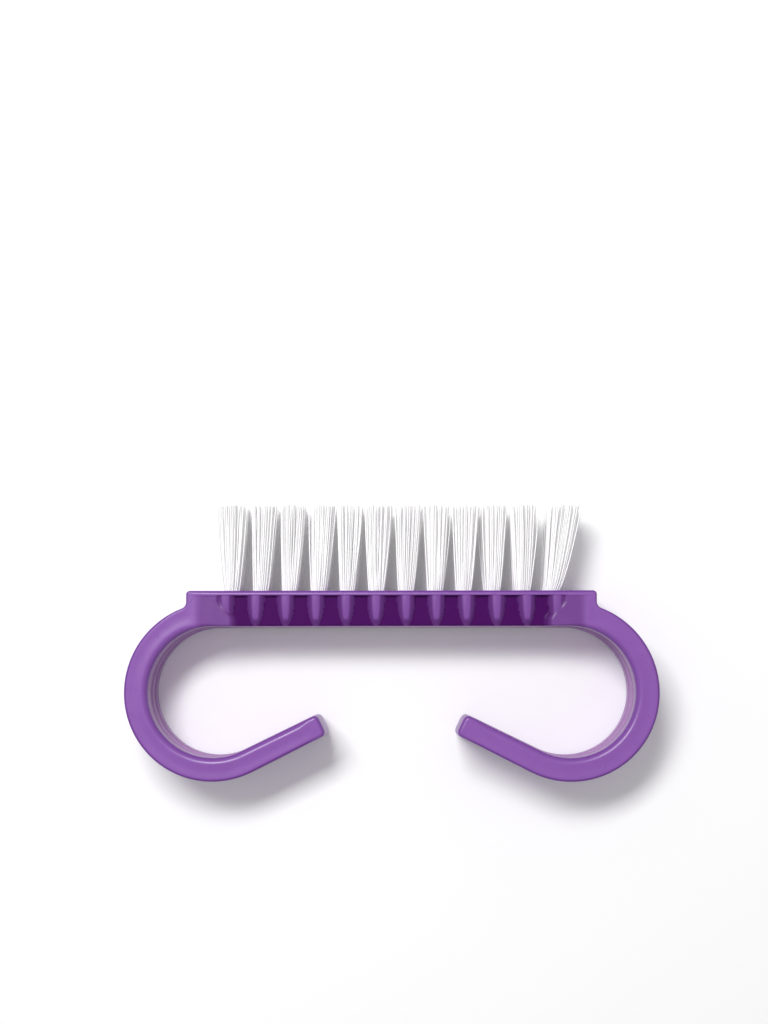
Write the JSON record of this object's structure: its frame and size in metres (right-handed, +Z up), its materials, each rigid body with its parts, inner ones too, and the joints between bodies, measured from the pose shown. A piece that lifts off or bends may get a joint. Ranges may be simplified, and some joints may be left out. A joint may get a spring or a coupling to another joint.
{
  "type": "nail brush",
  "caption": "Nail brush with a curled finger hook at each end of a ribbed bar and rows of flared bristle tufts.",
  "frame": {"origin": "middle of the base of the brush, which lies on one of its side faces", "axes": "+X along the bar to the right, +Y from the hooks towards the bristle tips, +Z up through the depth of the brush"},
  "size_m": [0.0896, 0.0465, 0.013],
  "materials": {
    "moulding": "purple polypropylene, satin gloss straight from a polished mould",
    "bristles": "white translucent nylon filament, cut flat",
    "anchor_wire": "flat drawn wire, cut to length"
  },
  "bodies": {
    "root": {"body": "moulding", "tuft_bottom_1": "bristles", "tuft_bottom_2": "bristles", "tuft_bottom_3": "bristles", "tuft_bottom_4": "bristles", "tuft_bottom_5": "bristles", "tuft_bottom_6": "bristles", "tuft_bottom_7": "bristles", "tuft_bottom_8": "bristles", "tuft_bottom_9": "bristles", "tuft_bottom_10": "bristles", "tuft_bottom_11": "bristles", "tuft_bottom_12": "bristles", "tuft_middle_1": "bristles", "tuft_middle_2": "bristles", "tuft_middle_3": "bristles", "tuft_middle_4": "bristles", "tuft_middle_5": "bristles", "tuft_middle_6": "bristles", "tuft_middle_7": "bristles", "tuft_middle_8": "bristles", "tuft_middle_9": "bristles", "tuft_middle_10": "bristles", "tuft_middle_11": "bristles", "tuft_middle_12": "bristles", "tuft_top_1": "bristles", "tuft_top_2": "bristles", "tuft_top_3": "bristles", "tuft_top_4": "bristles", "tuft_top_5": "bristles", "tuft_top_6": "bristles", "tuft_top_7": "bristles", "tuft_top_8": "bristles", "tuft_top_9": "bristles", "tuft_top_10": "bristles", "tuft_top_11": "bristles", "tuft_top_12": "bristles", "anchors_bottom_row": "anchor_wire", "anchors_middle_row": "anchor_wire", "anchors_top_row": "anchor_wire"}
  },
  "joints": []
}
